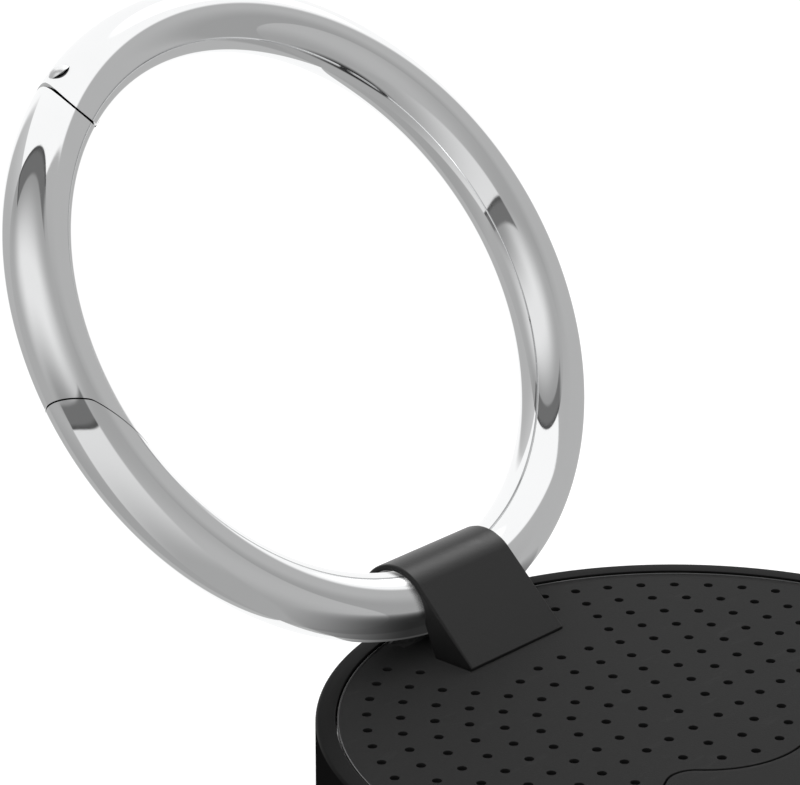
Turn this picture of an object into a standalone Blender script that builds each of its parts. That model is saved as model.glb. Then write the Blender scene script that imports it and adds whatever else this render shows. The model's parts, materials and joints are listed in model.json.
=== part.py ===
"""Bluetooth tracker tag: a round tracker puck with a dimpled face and a thumb button, and a moulded
loop on its edge that holds a key ring with a sprung gate.

Run with: blender --background --python part.py
Metres, +Z up. The origin is the centre of the puck's back face. The loop and the ring lie towards +Y,
and the thumb button towards -Y. The ring swings about an axis along X.
"""

import math

import bmesh
import bpy
from mathutils import Matrix, Vector

MM = 0.001

# Driving dimensions of the puck.
PUCK_RADIUS = 18.0 * MM
PUCK_HEIGHT = 8.0 * MM
RIM_WIDTH = 0.95 * MM
FACE_DROP = 0.12 * MM  # how far the dimpled face lies below the rim
WALL = 2.1 * MM
FLOOR = 1.2 * MM
COVER_THICKNESS = 0.98 * MM
SEAM = 0.1 * MM  # gap between two fixed neighbours
REST_GAP = 0.03 * MM  # gap under a piece that rests on another
ROUND = 72  # facets of a large circle
SMALL_ROUND = 20

# Dimples: concentric circles of 3, 9, 15 ... dots.
DIMPLE_RADIUS = 0.22 * MM
DIMPLE_DEPTH = 0.25 * MM
DIMPLE_SIDES = 4
DIMPLE_CIRCLES = 10
DIMPLE_FIRST_RADIUS = 1.09 * MM
DIMPLE_PITCH = 1.611 * MM

# Thumb button: a sector of the face, opposite the loop.
BUTTON_INNER = 5.4 * MM
BUTTON_OUTER = 13.1 * MM
BUTTON_HALF_ANGLE = math.radians(64)
BUTTON_CORNER = 1.6 * MM
BUTTON_FLANGE = 0.45 * MM
BUTTON_BOTTOM = 6.45 * MM
BUTTON_FLANGE_TOP = 6.8 * MM

# Key ring and the moulded loop round it.
RING_RADIUS = 15.75 * MM  # to the middle of the wire
WIRE_RADIUS = 1.69 * MM
WIRE_SIDES = 16
RING_TILT = math.radians(54)  # above the horizontal, at rest
HINGE_OFFSET = 0.21 * MM  # the curved wire turns best a little inside its own centre line
LOOP_WIDTH = 6.8 * MM
LOOP_BORE = 1.94 * MM
LOOP_THICKNESS = 0.32 * MM
LOOP_Y = 16.22 * MM
LOOP_Z = PUCK_HEIGHT + 1.72 * MM
LOOP_SLOPE = math.radians(43.3)
LOOP_FOOT_BACK = 13.5 * MM
TOE_HEIGHT = 0.16 * MM
LOOP_LEG_END = 2.2 * MM
HOOK_DEPTH = 1.2 * MM
HOOK_TOP = 3.4 * MM
FOOT_SCREW_X = 2.0 * MM
FOOT_SCREW_Y = 12.4 * MM

# Gate of the ring. Angles run round the ring's centre, from +X towards the side opposite the loop.
GATE_PIVOT_ANGLE = math.radians(120)
GATE_NOSE_ANGLE = math.radians(181)
GATE_OPENS = math.radians(30)
GATE_GAP = 0.08 * MM
CHEEK_RADIUS = 1.7 * MM
TONGUE_HALF_THICKNESS = 0.55 * MM
SLOT_HALF_WIDTH = 0.65 * MM
TONGUE_RADIUS = 1.0 * MM
HEEL_RADIUS = 1.25 * MM
SLOT_RADIUS = 1.32 * MM
PIVOT_PIN_RADIUS = 0.4 * MM
PLUNGER_RADIUS = 0.62 * MM
SPRING_BORE_RADIUS = 0.72 * MM
PLUNGER_TIP = 1.17 * MM  # from the pivot, along the wire
PLUNGER_LENGTH = 1.05 * MM
SPRING_BORE_END = 5.3 * MM
RIVET_TILT = math.radians(20)  # from straight outward, towards the ring's own axis

# Inside of the puck, by height above the back face.
DOOR_RADIUS = 11.45 * MM
DOOR_OPENING = 11.6 * MM
DOOR_THICKNESS = 1.0 * MM
DOOR_RIM_TOP = 1.95 * MM
DOOR_RIM_INNER = 10.3 * MM
LUG_REACH = 12.55 * MM
LUG_HALF_ANGLE = math.radians(7)
LUG_ANGLES = [math.radians(a) for a in (90, 210, 330)]
DOOR_TURNS = math.radians(25)
CELL_RADIUS = 10.0 * MM
CELL_BOTTOM = 1.35 * MM
CELL_TOP = 4.55 * MM
BOARD_RADIUS = 14.6 * MM
BOARD_BOTTOM = 4.95 * MM
BOARD_TOP = 5.75 * MM
POST_CIRCLE = 14.0 * MM
POST_RADIUS = 1.3 * MM
POST_ANGLES = [math.radians(a) for a in (30, 150, 270)]
SWITCH_Y = -9.3 * MM
PIEZO_Y = 3.0 * MM

FACE_TOP = PUCK_HEIGHT - FACE_DROP
COVER_BOTTOM = FACE_TOP - COVER_THICKNESS
COVER_RADIUS = PUCK_RADIUS - RIM_WIDTH - SEAM
LEDGE_TOP = COVER_BOTTOM - 0.2 * MM
BORE_INNER = PUCK_RADIUS - WALL
RING_CENTRE = RING_RADIUS - HINGE_OFFSET  # from the swing axis


# ---------------------------------------------------------------- tools

def clear_scene():
    for obj in list(bpy.data.objects):
        bpy.data.objects.remove(obj, do_unlink=True)


def material(name, colour, roughness, metallic=0.0):
    """A Principled material, made once for each name."""
    made = bpy.data.materials.get(name)
    if made is None:
        made = bpy.data.materials.new(name)
        made.use_nodes = True
        shader = made.node_tree.nodes["Principled BSDF"]
        shader.inputs["Base Color"].default_value = (*colour, 1.0)
        shader.inputs["Roughness"].default_value = roughness
        shader.inputs["Metallic"].default_value = metallic
    return made


def finish_mesh(name, shape, finish, smooth):
    """Turns a bmesh into an object at the scene's origin."""
    bmesh.ops.remove_doubles(shape, verts=shape.verts, dist=1e-7)
    bmesh.ops.recalc_face_normals(shape, faces=shape.faces)
    mesh = bpy.data.meshes.new(name)
    shape.to_mesh(mesh)
    shape.free()
    if smooth:
        mesh.shade_smooth()
        mesh.set_sharp_from_angle(angle=math.radians(35))
    obj = bpy.data.objects.new(name, mesh)
    bpy.context.scene.collection.objects.link(obj)
    if finish is not None:
        mesh.materials.append(finish)
    return obj


def turned(name, profile, finish, steps=ROUND):
    """Spins a closed profile of (radius, height) points about Z."""
    shape = bmesh.new()
    points = [shape.verts.new((radius, 0, height)) for radius, height in profile]
    edges = [shape.edges.new((a, b)) for a, b in zip(points, points[1:])]
    if profile[0][0] > 0:
        edges.append(shape.edges.new((points[-1], points[0])))
    bmesh.ops.spin(
        shape, geom=points + edges, cent=(0, 0, 0), axis=(0, 0, 1), angle=2 * math.pi, steps=steps,
        use_merge=True,
    )
    return finish_mesh(name, shape, finish, True)


def prism(name, outline, low, high, finish, smooth=False):
    """Extrudes a flat outline of (x, y) points from height low to height high."""
    shape = bmesh.new()
    face = shape.faces.new([shape.verts.new((x, y, low)) for x, y in outline])
    grown = bmesh.ops.extrude_face_region(shape, geom=[face])["geom"]
    top = [v for v in grown if isinstance(v, bmesh.types.BMVert)]
    bmesh.ops.translate(shape, verts=top, vec=(0, 0, high - low))
    return finish_mesh(name, shape, finish, smooth)


def box(name, centre, size, low, high, finish):
    """An upright box: centre and size are (x, y) pairs."""
    half = (size[0] / 2, size[1] / 2)
    corners = ((-1, -1), (1, -1), (1, 1), (-1, 1))
    outline = [(centre[0] + i * half[0], centre[1] + j * half[1]) for i, j in corners]
    return prism(name, outline, low, high, finish)


def rod(name, start, end, radius, finish, sides=SMALL_ROUND):
    """A round bar between two points."""
    start, end = Vector(start), Vector(end)
    shape = bmesh.new()
    turn = (end - start).to_track_quat("Z", "Y").to_matrix().to_4x4()
    bmesh.ops.create_cone(
        shape, cap_ends=True, segments=sides, radius1=radius, radius2=radius,
        depth=(end - start).length, matrix=Matrix.Translation((start + end) / 2) @ turn,
    )
    return finish_mesh(name, shape, finish, True)


def lofted(name, loops, finish, closed=False):
    """Skins a row of loops that have the same number of points, and caps the two ends unless closed."""
    shape = bmesh.new()
    rows = [[shape.verts.new(point) for point in loop] for loop in loops]
    pairs = list(zip(rows, rows[1:]))
    if closed:
        pairs.append((rows[-1], rows[0]))
    for first, second in pairs:
        for i in range(len(first)):
            j = (i + 1) % len(first)
            shape.faces.new((first[i], first[j], second[j], second[i]))
    if not closed:
        shape.faces.new(rows[0])
        shape.faces.new(rows[-1])
    return finish_mesh(name, shape, finish, True)


def circle(radius, count, centre=(0.0, 0.0), start=0.0, sweep=2 * math.pi):
    """Points on an arc. A full circle leaves its last point out; a part of one keeps it."""
    steps = count if sweep >= 2 * math.pi - 1e-9 else count - 1
    angles = [start + sweep * i / steps for i in range(count)]
    return [(centre[0] + radius * math.cos(a), centre[1] + radius * math.sin(a)) for a in angles]


def polar(radius, angle):
    return (radius * math.cos(angle), radius * math.sin(angle))


def helper(obj):
    """A cutter or an added shape: it isn't a part of its own."""
    obj.hide_render = True
    obj.display_type = "WIRE"
    return obj


def combine(target, tool, operation):
    modifier = target.modifiers.new(tool.name, "BOOLEAN")
    modifier.operation = operation
    modifier.solver = "EXACT"
    modifier.object = helper(tool)


def cut(target, *tools):
    for tool in tools:
        combine(target, tool, "DIFFERENCE")


def add(target, *tools):
    for tool in tools:
        combine(target, tool, "UNION")


def parent_to(parent, *objects):
    """Parents objects whose meshes are already drawn in the parent's own axes."""
    for obj in objects:
        obj.parent = parent


def empty(name, parent=None, matrix=None):
    made = bpy.data.objects.new(name, None)
    bpy.context.scene.collection.objects.link(made)
    made.parent = parent
    made.matrix_local = matrix or Matrix.Identity(4)
    return made


def move_origin(obj, point):
    """Puts an object's origin at a point without moving its mesh."""
    obj.data.transform(Matrix.Translation(-Vector(point)))
    obj.location = point


def black_plastic():
    return material("black_plastic", (0.030, 0.030, 0.031), 0.45)


def rim_plastic():
    return material("rim_plastic", (0.016, 0.016, 0.017), 0.35)


def loop_rubber():
    return material("loop_rubber", (0.034, 0.034, 0.035), 0.5)


def chrome():
    return material("chrome", (0.80, 0.81, 0.82), 0.06, 1.0)


def steel():
    return material("steel", (0.55, 0.55, 0.56), 0.3, 1.0)


def brass():
    return material("brass", (0.72, 0.55, 0.25), 0.3, 1.0)


def chip_black():
    return material("chip_black", (0.02, 0.02, 0.02), 0.5)


def ceramic():
    return material("ceramic", (0.82, 0.80, 0.74), 0.5)


def seal_rubber():
    return material("seal_rubber", (0.02, 0.02, 0.02), 0.8)


def board_green():
    return material("board_green", (0.02, 0.12, 0.05), 0.4)


# ---------------------------------------------------------------- outlines

def button_outline(grow):
    """The thumb button's outline grown by a margin: two arcs, two straight sides and four round corners."""
    inner, outer = BUTTON_INNER - grow, BUTTON_OUTER + grow
    corner = BUTTON_CORNER + grow
    inset = corner - grow  # from the side's own radial line to a corner's centre
    side = BUTTON_HALF_ANGLE
    outer_angle = side - math.asin(inset / (outer - corner))
    inner_angle = side - math.asin(inset / (inner + corner))
    half = circle(outer, 14, start=0, sweep=outer_angle)
    half += circle(
        corner, 6, polar(outer - corner, outer_angle), outer_angle,
        side + math.pi / 2 - outer_angle,
    )[1:]
    half += circle(
        corner, 6, polar(inner + corner, inner_angle), side + math.pi / 2,
        inner_angle + math.pi / 2 - side,
    )
    half += circle(inner, 8, start=inner_angle, sweep=-inner_angle)[1:]
    whole = half + [(x, -y) for x, y in half[-2:0:-1]]
    return [(y, -x) for x, y in whole]


def in_button(x, y, margin):
    radius = math.hypot(x, y)
    off_axis = abs(math.atan2(x, -y))
    beside = radius * math.sin(max(off_axis - BUTTON_HALF_ANGLE, 0.0))
    return BUTTON_INNER - margin < radius < BUTTON_OUTER + margin and beside < margin


def dimple_places():
    """Every dimple that lies clear of the button and of the loop's foot."""
    places = []
    for ring in range(DIMPLE_CIRCLES):
        count = 3 + 6 * ring
        radius = DIMPLE_FIRST_RADIUS + DIMPLE_PITCH * ring
        for i in range(count):
            angle = math.pi / 2 + (i + 0.5 * (ring % 2)) * 2 * math.pi / count
            x, y = polar(radius, angle)
            under_loop = abs(x) < 0.7 * LOOP_WIDTH and y > 10.0 * MM
            if not under_loop and not in_button(x, y, 0.6 * MM):
                places.append((x, y))
    return places


def loop_outline():
    """Side view of the loop, as (y, z) points: foot, sloping flap, fold over the wire, leg and hook."""
    outer = LOOP_BORE + LOOP_THICKNESS
    flap_start = math.pi / 2 + LOOP_SLOPE
    tangent = (
        LOOP_Y + outer * math.cos(flap_start),
        LOOP_Z + outer * math.sin(flap_start),
    )
    foot_z = FACE_TOP + REST_GAP
    toe_z = foot_z + TOE_HEIGHT
    toe = tangent[0] - (tangent[1] - toe_z) / math.tan(LOOP_SLOPE)
    leg_outer, leg_inner = LOOP_Y + outer, LOOP_Y + LOOP_BORE
    outline = [(toe, foot_z), (toe, toe_z)]
    outline += circle(outer, 20, (LOOP_Y, LOOP_Z), flap_start, -flap_start)
    outline += [(leg_outer, LOOP_LEG_END), (leg_inner - HOOK_DEPTH, LOOP_LEG_END)]
    outline += [(leg_inner - HOOK_DEPTH, HOOK_TOP), (leg_inner, HOOK_TOP)]
    outline += circle(LOOP_BORE, 25, (LOOP_Y, LOOP_Z), 0, math.pi)
    outline += [(LOOP_FOOT_BACK, foot_z)]
    return outline


def along_x(name, outline, half_width, finish, smooth=False):
    """Extrudes an outline of (y, z) points along X."""
    made = prism(name, outline, -half_width, half_width, finish, smooth)
    made.data.transform(Matrix(((0, 0, 1, 0), (1, 0, 0, 0), (0, 1, 0, 0), (0, 0, 0, 1))))
    return made


# ---------------------------------------------------------------- casing

def saddle_cutter(name):
    """A shallow trough under the loop, so that the wire turns clear of the puck."""
    reach = LOOP_WIDTH / 2 + SEAM
    radius = LOOP_BORE + 0.05 * MM
    return rod(name, (-reach, LOOP_Y, LOOP_Z), (reach, LOOP_Y, LOOP_Z), radius, None, 48)


def sector_cutter(name, inner, outer, angle, half_angle, low, high, finish=None):
    arc = circle(outer, 6, start=angle - half_angle, sweep=2 * half_angle)
    back = circle(inner, 6, start=angle + half_angle, sweep=-2 * half_angle)
    return prism(name, arc + back, low, high, finish)


def make_case_frame():
    chamfer = 0.6 * MM
    rim_inner = PUCK_RADIUS - RIM_WIDTH
    profile = [
        (DOOR_OPENING, 0), (PUCK_RADIUS - chamfer, 0), (PUCK_RADIUS, chamfer),
        (PUCK_RADIUS, PUCK_HEIGHT - 0.06 * MM),
        (PUCK_RADIUS - 0.06 * MM, PUCK_HEIGHT),
        (rim_inner, PUCK_HEIGHT), (rim_inner, LEDGE_TOP), (BORE_INNER, LEDGE_TOP),
        (BORE_INNER, FLOOR), (DOOR_OPENING, FLOOR),
    ]
    frame = turned("case_frame", profile, rim_plastic())
    for i, angle in enumerate(POST_ANGLES):
        x, y = polar(POST_CIRCLE, angle)
        post_top = BOARD_BOTTOM - REST_GAP
        add(frame, rod(f"post_{i}", (x, y, FLOOR / 2), (x, y, post_top), POST_RADIUS, None, 16))
        cut(frame, rod(f"post_hole_{i}", (x, y, 2.2 * MM), (x, y, 6 * MM), 0.44 * MM, None, 12))
    for i, angle in enumerate(LUG_ANGLES):
        notch = angle + DOOR_TURNS
        cut(frame, sector_cutter(
            f"lug_notch_{i}", DOOR_OPENING - MM, LUG_REACH + 0.15 * MM, notch,
            LUG_HALF_ANGLE + math.radians(1), -MM, FLOOR + MM,
        ))
        stop = angle - LUG_HALF_ANGLE - math.radians(2.5)
        add(frame, sector_cutter(
            f"lug_stop_{i}", DOOR_OPENING + 0.3 * MM, LUG_REACH, stop, math.radians(1.5),
            FLOOR - 0.4 * MM, DOOR_RIM_TOP,
        ))
    hook_back = LOOP_Y + LOOP_BORE - HOOK_DEPTH - SEAM
    pocket = (
        (hook_back, LOOP_LEG_END - SEAM), (PUCK_RADIUS + MM, LOOP_LEG_END - SEAM),
        (PUCK_RADIUS + MM, HOOK_TOP + SEAM), (hook_back, HOOK_TOP + SEAM),
    )
    cut(frame, along_x("hook_pocket", pocket, LOOP_WIDTH / 2 + SEAM, None), saddle_cutter("frame_saddle"))


def make_front_cover():
    edge = 0.08 * MM
    profile = [
        (0, COVER_BOTTOM), (COVER_RADIUS, COVER_BOTTOM), (COVER_RADIUS, FACE_TOP - edge),
        (COVER_RADIUS - edge, FACE_TOP), (0, FACE_TOP),
    ]
    cover = turned("front_cover", profile, black_plastic())
    cut(cover, prism("button_opening", button_outline(0), COVER_BOTTOM - MM, PUCK_HEIGHT + MM, None))
    cut(cover, saddle_cutter("cover_saddle"))
    for side in (-1, 1):
        x = side * FOOT_SCREW_X
        cut(cover, rod(
            f"foot_hole_{side}", (x, FOOT_SCREW_Y, COVER_BOTTOM - MM), (x, FOOT_SCREW_Y, PUCK_HEIGHT + MM),
            0.55 * MM, None, 12,
        ))
    shape = bmesh.new()
    for x, y in dimple_places():
        bmesh.ops.create_cone(
            shape, cap_ends=True, segments=DIMPLE_SIDES, radius1=DIMPLE_RADIUS, radius2=DIMPLE_RADIUS,
            depth=2 * DIMPLE_DEPTH, matrix=Matrix.Translation((x, y, FACE_TOP)),
        )
    cut(cover, finish_mesh("dimple_cutter", shape, None, False))


def make_front_gasket():
    inner, outer = BORE_INNER + 0.05 * MM, COVER_RADIUS
    low, high = LEDGE_TOP + REST_GAP, COVER_BOTTOM - REST_GAP
    turned("front_gasket", [(inner, low), (outer, low), (outer, high), (inner, high)], seal_rubber(), 48)


def make_thumb_button():
    top = FACE_TOP - 0.02 * MM
    button = prism("thumb_button", button_outline(-SEAM), BUTTON_BOTTOM + 0.15 * MM, top, black_plastic())
    wide = button_outline(BUTTON_FLANGE)
    add(button, prism("button_flange", wide, BUTTON_BOTTOM, BUTTON_FLANGE_TOP, None))


def make_battery_door():
    groove_low, groove_high, groove_floor = 0.27 * MM, 0.83 * MM, 10.93 * MM
    profile = [
        (0, 0), (DOOR_RADIUS - 0.15 * MM, 0), (DOOR_RADIUS, 0.15 * MM), (DOOR_RADIUS, groove_low),
        (groove_floor, groove_low), (groove_floor, groove_high), (DOOR_RADIUS, groove_high),
        (DOOR_RADIUS, DOOR_RIM_TOP), (DOOR_RIM_INNER, DOOR_RIM_TOP), (DOOR_RIM_INNER, DOOR_THICKNESS),
        (0, DOOR_THICKNESS),
    ]
    door = turned("battery_door", profile, rim_plastic())
    for i, angle in enumerate(LUG_ANGLES):
        add(door, sector_cutter(
            f"lug_{i}", DOOR_RADIUS - 0.4 * MM, LUG_REACH, angle, LUG_HALF_ANGLE,
            FLOOR + 0.07 * MM, DOOR_RIM_TOP - 0.06 * MM,
        ))
    for side in (-1, 1):
        cut(door, box(f"coin_slot_{side}", (side * 5 * MM, 0), (5 * MM, 1.6 * MM), -MM, 0.5 * MM, None))


def make_door_seal():
    ring_radius, wire = 11.22 * MM, 0.25 * MM
    profile = circle(wire, 6, (ring_radius, 0.55 * MM))
    turned("door_seal", profile, seal_rubber(), 48)


# ---------------------------------------------------------------- loop and ring

def make_strap_loop():
    loop = along_x("strap_loop", loop_outline(), LOOP_WIDTH / 2, loop_rubber(), True)
    for side in (-1, 1):
        x = side * FOOT_SCREW_X
        cut(loop, rod(
            f"loop_screw_hole_{side}", (x, FOOT_SCREW_Y, PUCK_HEIGHT - MM),
            (x, FOOT_SCREW_Y, PUCK_HEIGHT + 0.6 * MM), 0.5 * MM, None, 12,
        ))


def screw(name, place, head_bottom, head_top, shank_end, head_radius, shank_radius):
    """An upright screw with a slotted head. The slot is on the side away from the shank."""
    x, y = place
    middle = (head_bottom + head_top) / 2
    made = rod(name, (x, y, head_bottom), (x, y, head_top), head_radius, steel(), 16)
    add(made, rod(f"{name}_shank", (x, y, middle), (x, y, shank_end), shank_radius, None, 12))
    shank_is_above = shank_end > head_top
    slot_face = head_bottom if shank_is_above else head_top
    slot_size = (1.6 * head_radius, 0.3 * head_radius)
    depth = 0.15 * MM
    cut(made, box(f"{name}_slot", place, slot_size, slot_face - depth, slot_face + depth, None))


def make_foot_screws():
    for side, name in ((-1, "foot_screw_left"), (1, "foot_screw_right")):
        place = (side * FOOT_SCREW_X, FOOT_SCREW_Y)
        head_top = COVER_BOTTOM - 0.05 * MM
        screw(name, place, head_top - 0.5 * MM, head_top, PUCK_HEIGHT + 0.5 * MM, 0.9 * MM, 0.45 * MM)


def ring_matrix():
    """Places the ring's own axes: X along the swing axis, Y towards the ring's centre, Z along its axis."""
    place = Matrix.Translation((0, LOOP_Y, LOOP_Z))
    return place @ Matrix.Rotation(RING_TILT, 4, "X")


def wire_arc(name, start, end, finish):
    """A stretch of round wire bent to the ring's circle, between two angles."""
    steps = max(2, round(abs(end - start) / math.radians(6)))
    section = circle(WIRE_RADIUS, WIRE_SIDES, start=math.pi / WIRE_SIDES)
    loops = []
    for i in range(steps + 1):
        angle = start + (end - start) * i / steps
        loops.append([
            ((RING_RADIUS + u) * math.cos(angle), RING_CENTRE + (RING_RADIUS + u) * math.sin(angle), v)
            for u, v in section
        ])
    return lofted(name, loops, finish)


def wire_frame(angle):
    """Axes on the wire at an angle: X along it, Y to the ring's centre, Z along the ring's axis."""
    x, y = polar(RING_RADIUS, angle)
    turn = Matrix.Rotation(angle + math.pi / 2, 4, "Z")
    return Matrix.Translation((x, RING_CENTRE + y, 0)) @ turn


def in_frame(obj, matrix):
    obj.data.transform(matrix)
    return obj


def nose_line(gap):
    """The slanting joint between the gate's nose and the ring, as (along, inward) points."""
    reach = 1.5 * MM
    outer, knee, inner = -WIRE_RADIUS, -0.6 * MM, WIRE_RADIUS
    steep, shallow = 0.65, 1.3  # travel along the wire for each step inward
    start = -0.16 * MM
    middle = start + steep * (knee - outer)
    end = middle + shallow * (inner - knee)
    return [
        (start - steep * reach + gap, outer - reach),
        (middle + gap, knee),
        (end + shallow * reach + gap, inner + reach),
    ]


def pivot_slot_outline():
    """Room for the gate's tongue through its whole swing, in the pivot's axes."""
    reach = 5 * MM
    half = TONGUE_RADIUS + 0.1 * MM
    open_angle = GATE_OPENS + math.radians(2)
    along = Vector(polar(1, open_angle))
    across = Vector(polar(1, open_angle + math.pi / 2))
    back_start = open_angle + math.radians(75)
    back = circle(SLOT_RADIUS, 14, start=back_start, sweep=math.radians(270) - back_start)
    near = across * half + along * 0.5 * MM
    far = along * reach + across * half
    return [(0.5 * MM, -half), (reach, -half), tuple(far), tuple(near)] + back


def spring_axis():
    """Ends of the spring's bore in the pivot's axes. It slants so that it stays inside the bent wire."""
    near = Vector((-0.9 * MM, 0.35 * MM, 0))
    far = Vector((-SPRING_BORE_END, 0.88 * MM, 0))
    return near, far


def along_spring(distance):
    """The point on the spring's axis that lies a distance behind the pivot, along the wire."""
    near, far = spring_axis()
    share = (-distance - near.x) / (far.x - near.x)
    return near + (far - near) * share


def rivet_turn():
    return Matrix.Rotation(-RIVET_TILT, 4, "X")


def make_ring_body(ring):
    pivot, nose = wire_frame(GATE_PIVOT_ANGLE), wire_frame(GATE_NOSE_ANGLE)
    margin = math.radians(3)
    first, last = GATE_NOSE_ANGLE - 2 * math.pi - margin, GATE_PIVOT_ANGLE + 3 * margin
    body = wire_arc("ring_body", first, last, chrome())
    behind = 3 * MM
    nose_cut = nose_line(GATE_GAP)
    nose_cut += [(-behind, nose_cut[-1][1]), (-behind, nose_cut[0][1])]
    cheek_cut = [(0, 3 * MM), (0, CHEEK_RADIUS)]
    cheek_cut += circle(CHEEK_RADIUS, 18, start=math.pi / 2, sweep=-math.pi)[1:]
    cheek_cut += [(0, -3 * MM), (5 * MM, -3 * MM), (5 * MM, 3 * MM)]
    deep, slot_half = 3 * MM, SLOT_HALF_WIDTH
    pin_hole_radius = PIVOT_PIN_RADIUS + 0.02 * MM
    rivet_hole = rod("rivet_hole", (0, -MM, 0), (0, -deep, 0), 0.37 * MM, None, 12)
    tools = [
        in_frame(prism("nose_cut", nose_cut, -deep, deep, None), nose),
        in_frame(prism("cheek_cut", cheek_cut, -deep, deep, None), pivot),
        in_frame(prism("tongue_slot", pivot_slot_outline(), -slot_half, slot_half, None), pivot),
        in_frame(rod("pin_hole", (0, 0, -deep), (0, 0, deep), pin_hole_radius, None, 16), pivot),
        in_frame(rod("spring_bore", *spring_axis(), SPRING_BORE_RADIUS, None, 16), pivot),
        in_frame(rivet_hole, pivot @ rivet_turn()),
    ]
    cut(body, *tools)
    parent_to(ring, body, *tools)


def tongue_outline():
    """The gate's tongue in the pivot's axes: a round head with a heel for the plunger, and a neck."""
    neck_end = 3.4 * MM
    heel = math.radians(150)
    points = [(neck_end, -TONGUE_RADIUS), (neck_end, TONGUE_RADIUS + 0.2 * MM), (0.4 * MM, TONGUE_RADIUS)]
    points += circle(TONGUE_RADIUS, 4, start=math.pi / 2, sweep=math.radians(35))
    points += circle(HEEL_RADIUS, 2, start=heel - math.radians(2), sweep=math.radians(4))
    points += circle(TONGUE_RADIUS, 9, start=math.radians(175), sweep=math.radians(95))
    return points


def make_ring_gate(ring):
    pivot, nose = wire_frame(GATE_PIVOT_ANGLE), wire_frame(GATE_NOSE_ANGLE)
    first, beyond = GATE_PIVOT_ANGLE + math.radians(1), GATE_NOSE_ANGLE + math.radians(20)
    gate = wire_arc("ring_gate", first, beyond, chrome())
    ahead = 9 * MM
    nose_cut = nose_line(0)
    nose_cut += [(ahead, nose_cut[-1][1]), (ahead, nose_cut[0][1])]
    shoulder = CHEEK_RADIUS + GATE_GAP
    last = math.pi / 2 - GATE_OPENS + math.radians(6)
    shoulder_cut = [(-3 * MM, -3 * MM), (0, -3 * MM)]
    shoulder_cut += circle(shoulder, 18, start=-math.pi / 2, sweep=math.pi / 2 + last)
    shoulder_cut += [polar(4 * MM, last), (-3 * MM, 4 * MM)]
    nose_tool = in_frame(prism("gate_nose_cut", nose_cut, -3 * MM, 3 * MM, None), nose)
    shoulder_tool = in_frame(prism("shoulder_cut", shoulder_cut, -3 * MM, 3 * MM, None), pivot)
    tongue = in_frame(
        prism("gate_tongue", tongue_outline(), -TONGUE_HALF_THICKNESS, TONGUE_HALF_THICKNESS, None), pivot
    )
    hole = in_frame(
        rod("tongue_hole", (0, 0, -3 * MM), (0, 0, 3 * MM), PIVOT_PIN_RADIUS + 0.1 * MM, None, 16), pivot
    )
    cut(gate, nose_tool, shoulder_tool)
    add(gate, tongue)
    cut(gate, hole)
    move_origin(gate, pivot.to_translation())
    parent_to(ring, gate, nose_tool, shoulder_tool, tongue, hole)


def dome(name, matrix, radius, height, shank_radius, shank_length, finish):
    """A rivet along -Y of the given axes: a domed head on the wire, and a short shank below it."""
    ball = (radius**2 + height**2) / (2 * height)
    spread = math.asin(radius / ball)
    profile = [(0, -shank_length), (shank_radius, -shank_length), (shank_radius, 0), (radius, 0)]
    for i in range(1, 5):
        angle = spread * (1 - i / 5)
        profile.append((ball * math.sin(angle), height - ball * (1 - math.cos(angle))))
    profile.append((0, height))
    made = turned(name, profile, finish, SMALL_ROUND)
    made.data.transform(matrix @ Matrix.Rotation(math.pi / 2, 4, "X"))
    return made


def coil(name, radius, wire, length, turns, finish, matrix):
    """A compression spring along Z, from zero to its length."""
    steps, sides = 12, 5
    count = round(turns * steps)
    loops = []
    for i in range(count + 1):
        angle = 2 * math.pi * i / steps
        height = wire + (length - 2 * wire) * i / count
        section = circle(wire, sides)
        loops.append([
            matrix @ Vector(((radius + u) * math.cos(angle), (radius + u) * math.sin(angle), height + v))
            for u, v in section
        ])
    return lofted(name, loops, finish)


def make_gate_fittings(ring):
    pivot = wire_frame(GATE_PIVOT_ANGLE)
    pin_half = WIRE_RADIUS - 0.05 * MM
    pin = rod("gate_pivot_pin", (0, 0, -pin_half), (0, 0, pin_half), PIVOT_PIN_RADIUS, steel(), 16)
    in_frame(pin, pivot)
    seat = Matrix.Translation((0, -WIRE_RADIUS - REST_GAP, 0))
    rivet_place = pivot @ rivet_turn() @ seat
    rivet = dome("gate_rivet", rivet_place, 0.75 * MM, 0.5 * MM, 0.34 * MM, 0.2 * MM, chrome())
    tip, tail = along_spring(PLUNGER_TIP), along_spring(PLUNGER_TIP + PLUNGER_LENGTH)
    plunger = in_frame(rod("gate_plunger", tip, tail, PLUNGER_RADIUS, steel(), 16), pivot)
    start = along_spring(PLUNGER_TIP + PLUNGER_LENGTH + 0.2 * MM)
    end = along_spring(SPRING_BORE_END - 0.06 * MM)
    turn = (end - start).to_track_quat("Z", "Y").to_matrix().to_4x4()
    place = pivot @ Matrix.Translation(start) @ turn
    spring = coil("gate_spring", 0.48 * MM, 0.11 * MM, (end - start).length, 5, steel(), place)
    move_origin(plunger, (pivot @ tip))
    parent_to(ring, pin, rivet, plunger, spring)


# ---------------------------------------------------------------- inside

def make_board():
    board = turned("circuit_board", [
        (0, BOARD_BOTTOM), (BOARD_RADIUS, BOARD_BOTTOM), (BOARD_RADIUS, BOARD_TOP), (0, BOARD_TOP)
    ], board_green(), 48)
    for i, angle in enumerate(POST_ANGLES):
        x, y = polar(POST_CIRCLE, angle)
        cut(board, rod(
            f"board_hole_{i}", (x, y, BOARD_BOTTOM - MM), (x, y, BOARD_TOP + MM), 0.5 * MM, None, 12
        ))
        low = BOARD_TOP + REST_GAP
        screw(f"board_screw_{i + 1}", (x, y), low, low + 0.4 * MM, 2.5 * MM, 0.85 * MM, 0.4 * MM)


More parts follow.
